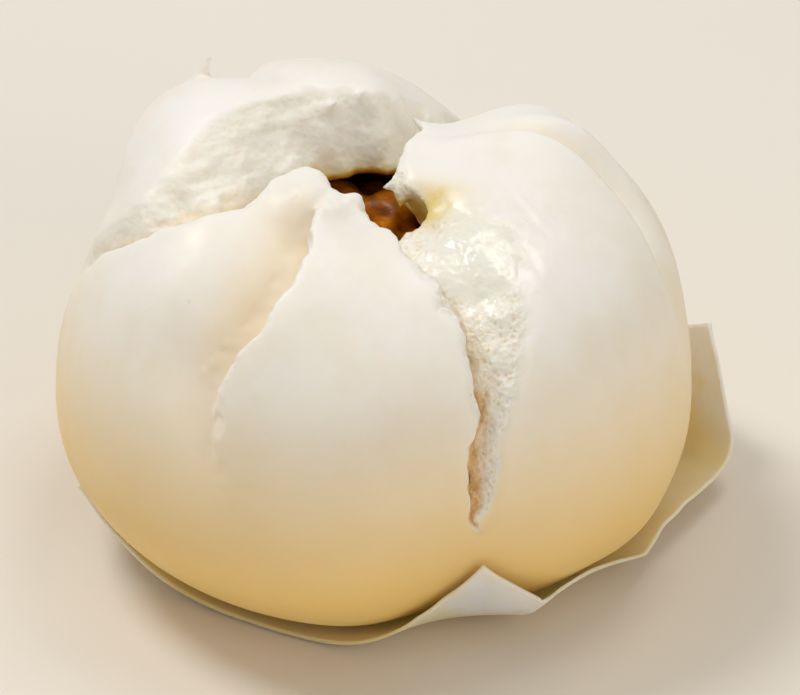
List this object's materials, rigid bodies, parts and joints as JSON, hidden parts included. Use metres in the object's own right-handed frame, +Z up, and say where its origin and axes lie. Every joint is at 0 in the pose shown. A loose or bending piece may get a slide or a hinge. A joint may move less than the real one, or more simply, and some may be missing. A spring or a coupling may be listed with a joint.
{
  "type": "char siu bao bun",
  "caption": "Steamed char siu bao: a round white bun burst open on top into petals, with barbecued pork filling down its opening, on the paper it was steamed on.",
  "frame": {"origin": "on the table under the middle of the bun, at the underside of the paper", "axes": "+Z up, through the middle of the opening; -Y towards the viewer of the picture; +X to that viewer's right"},
  "size_m": [0.076, 0.0769, 0.0513],
  "materials": {
    "dough": "white steamed yeast dough: smooth satin skin, rough matt crumb where it tore",
    "filling": "glossy red-brown barbecued pork in thick sauce",
    "paper": "thin off-white steaming paper, damp and slightly translucent"
  },
  "bodies": {
    "root": {"dough": "dough", "filling": "filling", "paper": "paper"}
  },
  "joints": []
}
